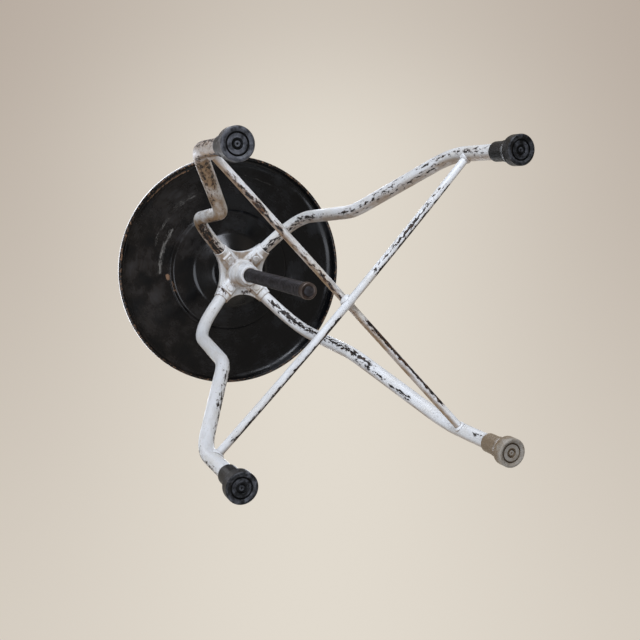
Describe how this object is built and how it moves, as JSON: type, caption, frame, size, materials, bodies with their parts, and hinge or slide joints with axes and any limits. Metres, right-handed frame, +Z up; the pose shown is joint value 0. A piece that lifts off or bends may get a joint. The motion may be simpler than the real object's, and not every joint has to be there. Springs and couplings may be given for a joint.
{
  "type": "adjustable stool",
  "caption": "Backless steel stool with bent tube legs, crossed brace rods, rubber feet and a round pan seat that winds up and down on a screw spindle in a cast hub.",
  "frame": {"origin": "on the floor, under the screw axis", "axes": "+Z up along the screw axis; the legs stand in pairs at +X and -X, the front is -Y"},
  "size_m": [0.3674, 0.356, 0.5579],
  "materials": {
    "white_paint": "cool white brush paint, chipped to dark steel",
    "black_enamel": "glossy black stove enamel, scuffed",
    "oiled_steel": "dark oily screw-cut steel",
    "worn_steel": "worn turned steel",
    "black_rubber": "moulded black rubber, dusty",
    "taupe_rubber": "moulded grey-brown rubber"
  },
  "bodies": {
    "frame": {"brace_lower": "white_paint", "brace_upper": "white_paint", "brace_welds": "white_paint", "crossing_weld": "white_paint", "foot_back_left": "taupe_rubber", "foot_back_right": "black_rubber", "foot_discs": "worn_steel", "foot_front_left": "black_rubber", "foot_front_right": "black_rubber", "hub": "white_paint", "hub_rivets": "white_paint", "leg_back_left": "white_paint", "leg_back_right": "white_paint", "leg_front_left": "white_paint", "leg_front_right": "white_paint"},
    "stop": {"stop_washer": "worn_steel"},
    "seat": {"seat_boss": "black_enamel", "seat_pan": "black_enamel", "seat_plate": "black_enamel", "spindle": "oiled_steel", "stop_collar": "worn_steel"}
  },
  "joints": [
    {"name": "seat_height", "type": "slide", "parent": "frame", "child": "stop", "axis": [0, 0, 1], "range_m": [-0.00501, 0.22501]},
    {"name": "seat_turn", "type": "hinge", "parent": "stop", "child": "seat", "pos_m": [0, 0, 0], "axis": [0, 0, 1], "range_deg": [-360, 16200]}
  ],
  "couplings": [
    {"joint": "seat_height", "follows": "seat_turn", "m_per_rad": 0.00079577}
  ]
}
